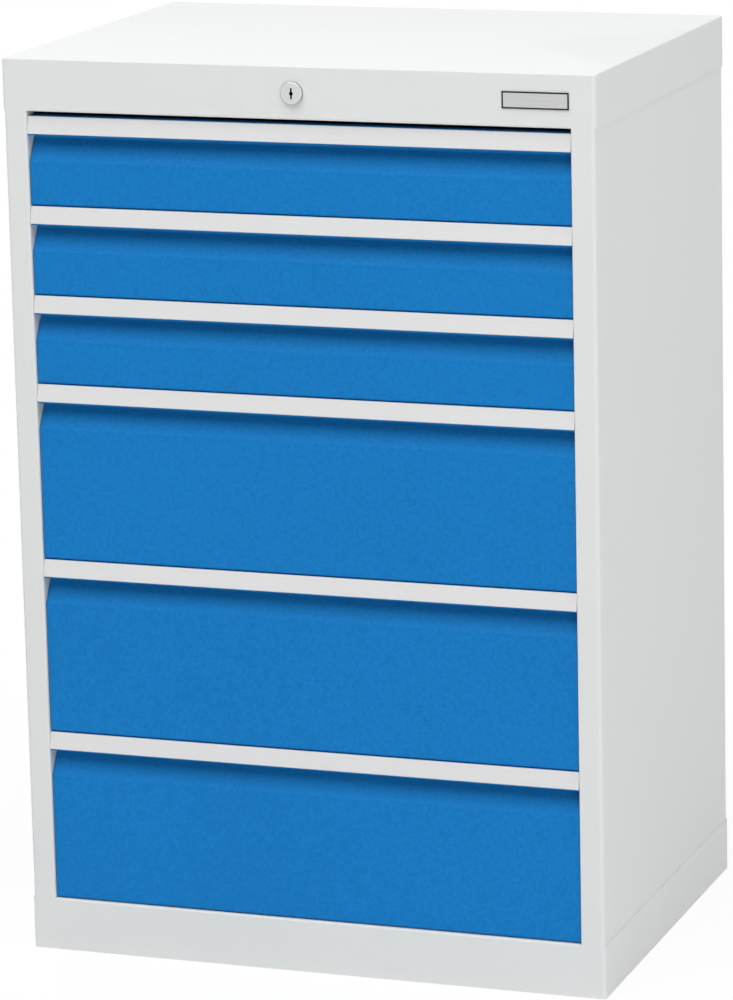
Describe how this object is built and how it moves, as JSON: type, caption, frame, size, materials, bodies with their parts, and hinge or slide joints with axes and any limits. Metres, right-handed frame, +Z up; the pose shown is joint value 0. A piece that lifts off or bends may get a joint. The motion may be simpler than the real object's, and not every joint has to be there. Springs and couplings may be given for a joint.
{
  "type": "multi-drawer cabinet",
  "caption": "Free-standing steel cabinet of low and tall drawers with full-width grip lips, on ball slides, under a hood with a central lock, on a closed plinth.",
  "frame": {"origin": "on the floor, in the middle of the width and of the whole depth with the lock", "axes": "+Z up, +Y from the drawer fronts to the back, +X to the right seen from the front"},
  "size_m": [0.68, 0.5044, 1.019],
  "materials": {
    "cabinet_grey": "light grey satin powder coat",
    "drawer_blue": "blue satin powder coat",
    "tray_grey": "light grey satin powder coat",
    "grip_grey": "light grey satin strip",
    "slide_steel": "bright zinc plated",
    "ball_steel": "polished steel",
    "zinc_steel": "zinc plated",
    "lock_metal": "satin nickel plated",
    "guide_plastic": "black moulded plastic",
    "badge_metal": "bare satin plate with a darker rim",
    "rivet_metal": "plain"
  },
  "bodies": {
    "cabinet": {"hood": "cabinet_grey", "side_panel_right": "cabinet_grey", "side_panel_left": "cabinet_grey", "back_panel": "cabinet_grey", "back_rivets": "rivet_metal", "plinth": "cabinet_grey", "floor_plate": "cabinet_grey", "slotted_posts": "zinc_steel", "cabinet_rails_right": "slide_steel", "cabinet_rails_left": "slide_steel", "lock_housing": "lock_metal", "lock_nut": "lock_metal", "shaft_bracket": "zinc_steel", "lock_bar_guides": "guide_plastic", "badge_plate": "badge_metal"},
    "drawer_1": {"drawer_1_tray": "tray_grey", "drawer_1_front": "drawer_blue", "drawer_1_grip_strip": "grip_grey", "drawer_1_inner_rails": "slide_steel"},
    "middle_rails_1": {"drawer_1_middle_rails": "slide_steel"},
    "outer_cages_1": {"drawer_1_outer_ball_cages": "ball_steel"},
    "inner_cages_1": {"drawer_1_inner_ball_cages": "ball_steel"},
    "drawer_2": {"drawer_2_tray": "tray_grey", "drawer_2_front": "drawer_blue", "drawer_2_grip_strip": "grip_grey", "drawer_2_inner_rails": "slide_steel"},
    "middle_rails_2": {"drawer_2_middle_rails": "slide_steel"},
    "outer_cages_2": {"drawer_2_outer_ball_cages": "ball_steel"},
    "inner_cages_2": {"drawer_2_inner_ball_cages": "ball_steel"},
    "drawer_3": {"drawer_3_tray": "tray_grey", "drawer_3_front": "drawer_blue", "drawer_3_grip_strip": "grip_grey", "drawer_3_inner_rails": "slide_steel"},
    "middle_rails_3": {"drawer_3_middle_rails": "slide_steel"},
    "outer_cages_3": {"drawer_3_outer_ball_cages": "ball_steel"},
    "inner_cages_3": {"drawer_3_inner_ball_cages": "ball_steel"},
    "drawer_4": {"drawer_4_tray": "tray_grey", "drawer_4_front": "drawer_blue", "drawer_4_grip_strip": "grip_grey", "drawer_4_inner_rails": "slide_steel"},
    "middle_rails_4": {"drawer_4_middle_rails": "slide_steel"},
    "outer_cages_4": {"drawer_4_outer_ball_cages": "ball_steel"},
    "inner_cages_4": {"drawer_4_inner_ball_cages": "ball_steel"},
    "drawer_5": {"drawer_5_tray": "tray_grey", "drawer_5_front": "drawer_blue", "drawer_5_grip_strip": "grip_grey", "drawer_5_inner_rails": "slide_steel"},
    "middle_rails_5": {"drawer_5_middle_rails": "slide_steel"},
    "outer_cages_5": {"drawer_5_outer_ball_cages": "ball_steel"},
    "inner_cages_5": {"drawer_5_inner_ball_cages": "ball_steel"},
    "drawer_6": {"drawer_6_tray": "tray_grey", "drawer_6_front": "drawer_blue", "drawer_6_grip_strip": "grip_grey", "drawer_6_inner_rails": "slide_steel"},
    "middle_rails_6": {"drawer_6_middle_rails": "slide_steel"},
    "outer_cages_6": {"drawer_6_outer_ball_cages": "ball_steel"},
    "inner_cages_6": {"drawer_6_inner_ball_cages": "ball_steel"},
    "lock_cylinder": {"lock_core": "lock_metal", "lock_shaft": "zinc_steel"},
    "locking_bar": {"lock_bar": "zinc_steel"}
  },
  "joints": [
    {"name": "drawer_1_slide", "type": "slide", "parent": "cabinet", "child": "drawer_1", "axis": [0, -1, 0], "range_m": [0, 0.4]},
    {"name": "middle_rails_1_slide", "type": "slide", "parent": "cabinet", "child": "middle_rails_1", "axis": [0, -1, 0], "range_m": [0, 0.2]},
    {"name": "outer_cages_1_slide", "type": "slide", "parent": "cabinet", "child": "outer_cages_1", "axis": [0, -1, 0], "range_m": [0, 0.1]},
    {"name": "inner_cages_1_slide", "type": "slide", "parent": "cabinet", "child": "inner_cages_1", "axis": [0, -1, 0], "range_m": [0, 0.3]},
    {"name": "drawer_2_slide", "type": "slide", "parent": "cabinet", "child": "drawer_2", "axis": [0, -1, 0], "range_m": [0, 0.4]},
    {"name": "middle_rails_2_slide", "type": "slide", "parent": "cabinet", "child": "middle_rails_2", "axis": [0, -1, 0], "range_m": [0, 0.2]},
    {"name": "outer_cages_2_slide", "type": "slide", "parent": "cabinet", "child": "outer_cages_2", "axis": [0, -1, 0], "range_m": [0, 0.1]},
    {"name": "inner_cages_2_slide", "type": "slide", "parent": "cabinet", "child": "inner_cages_2", "axis": [0, -1, 0], "range_m": [0, 0.3]},
    {"name": "drawer_3_slide", "type": "slide", "parent": "cabinet", "child": "drawer_3", "axis": [0, -1, 0], "range_m": [0, 0.4]},
    {"name": "middle_rails_3_slide", "type": "slide", "parent": "cabinet", "child": "middle_rails_3", "axis": [0, -1, 0], "range_m": [0, 0.2]},
    {"name": "outer_cages_3_slide", "type": "slide", "parent": "cabinet", "child": "outer_cages_3", "axis": [0, -1, 0], "range_m": [0, 0.1]},
    {"name": "inner_cages_3_slide", "type": "slide", "parent": "cabinet", "child": "inner_cages_3", "axis": [0, -1, 0], "range_m": [0, 0.3]},
    {"name": "drawer_4_slide", "type": "slide", "parent": "cabinet", "child": "drawer_4", "axis": [0, -1, 0], "range_m": [0, 0.4]},
    {"name": "middle_rails_4_slide", "type": "slide", "parent": "cabinet", "child": "middle_rails_4", "axis": [0, -1, 0], "range_m": [0, 0.2]},
    {"name": "outer_cages_4_slide", "type": "slide", "parent": "cabinet", "child": "outer_cages_4", "axis": [0, -1, 0], "range_m": [0, 0.1]},
    {"name": "inner_cages_4_slide", "type": "slide", "parent": "cabinet", "child": "inner_cages_4", "axis": [0, -1, 0], "range_m": [0, 0.3]},
    {"name": "drawer_5_slide", "type": "slide", "parent": "cabinet", "child": "drawer_5", "axis": [0, -1, 0], "range_m": [0, 0.4]},
    {"name": "middle_rails_5_slide", "type": "slide", "parent": "cabinet", "child": "middle_rails_5", "axis": [0, -1, 0], "range_m": [0, 0.2]},
    {"name": "outer_cages_5_slide", "type": "slide", "parent": "cabinet", "child": "outer_cages_5", "axis": [0, -1, 0], "range_m": [0, 0.1]},
    {"name": "inner_cages_5_slide", "type": "slide", "parent": "cabinet", "child": "inner_cages_5", "axis": [0, -1, 0], "range_m": [0, 0.3]},
    {"name": "drawer_6_slide", "type": "slide", "parent": "cabinet", "child": "drawer_6", "axis": [0, -1, 0], "range_m": [0, 0.4]},
    {"name": "middle_rails_6_slide", "type": "slide", "parent": "cabinet", "child": "middle_rails_6", "axis": [0, -1, 0], "range_m": [0, 0.2]},
    {"name": "outer_cages_6_slide", "type": "slide", "parent": "cabinet", "child": "outer_cages_6", "axis": [0, -1, 0], "range_m": [0, 0.1]},
    {"name": "inner_cages_6_slide", "type": "slide", "parent": "cabinet", "child": "inner_cages_6", "axis": [0, -1, 0], "range_m": [0, 0.3]},
    {"name": "locking_bar_lift", "type": "slide", "parent": "cabinet", "child": "locking_bar", "axis": [0, 0, 1], "range_m": [0, 0.01202]},
    {"name": "lock_turn", "type": "hinge", "parent": "cabinet", "child": "lock_cylinder", "pos_m": [0, 0, 0.99], "axis": [0, 1, 0], "range_deg": [0, 90]}
  ],
  "couplings": [
    {"joint": "middle_rails_1_slide", "follows": "drawer_1_slide", "ratio": 0.5},
    {"joint": "outer_cages_1_slide", "follows": "drawer_1_slide", "ratio": 0.25},
    {"joint": "inner_cages_1_slide", "follows": "drawer_1_slide", "ratio": 0.75},
    {"joint": "middle_rails_2_slide", "follows": "drawer_2_slide", "ratio": 0.5},
    {"joint": "outer_cages_2_slide", "follows": "drawer_2_slide", "ratio": 0.25},
    {"joint": "inner_cages_2_slide", "follows": "drawer_2_slide", "ratio": 0.75},
    {"joint": "middle_rails_3_slide", "follows": "drawer_3_slide", "ratio": 0.5},
    {"joint": "outer_cages_3_slide", "follows": "drawer_3_slide", "ratio": 0.25},
    {"joint": "inner_cages_3_slide", "follows": "drawer_3_slide", "ratio": 0.75},
    {"joint": "middle_rails_4_slide", "follows": "drawer_4_slide", "ratio": 0.5},
    {"joint": "outer_cages_4_slide", "follows": "drawer_4_slide", "ratio": 0.25},
    {"joint": "inner_cages_4_slide", "follows": "drawer_4_slide", "ratio": 0.75},
    {"joint": "middle_rails_5_slide", "follows": "drawer_5_slide", "ratio": 0.5},
    {"joint": "outer_cages_5_slide", "follows": "drawer_5_slide", "ratio": 0.25},
    {"joint": "inner_cages_5_slide", "follows": "drawer_5_slide", "ratio": 0.75},
    {"joint": "middle_rails_6_slide", "follows": "drawer_6_slide", "ratio": 0.5},
    {"joint": "outer_cages_6_slide", "follows": "drawer_6_slide", "ratio": 0.25},
    {"joint": "inner_cages_6_slide", "follows": "drawer_6_slide", "ratio": 0.75},
    {"joint": "lock_turn", "follows": "locking_bar_lift", "rad_per_m": 130.67}
  ]
}
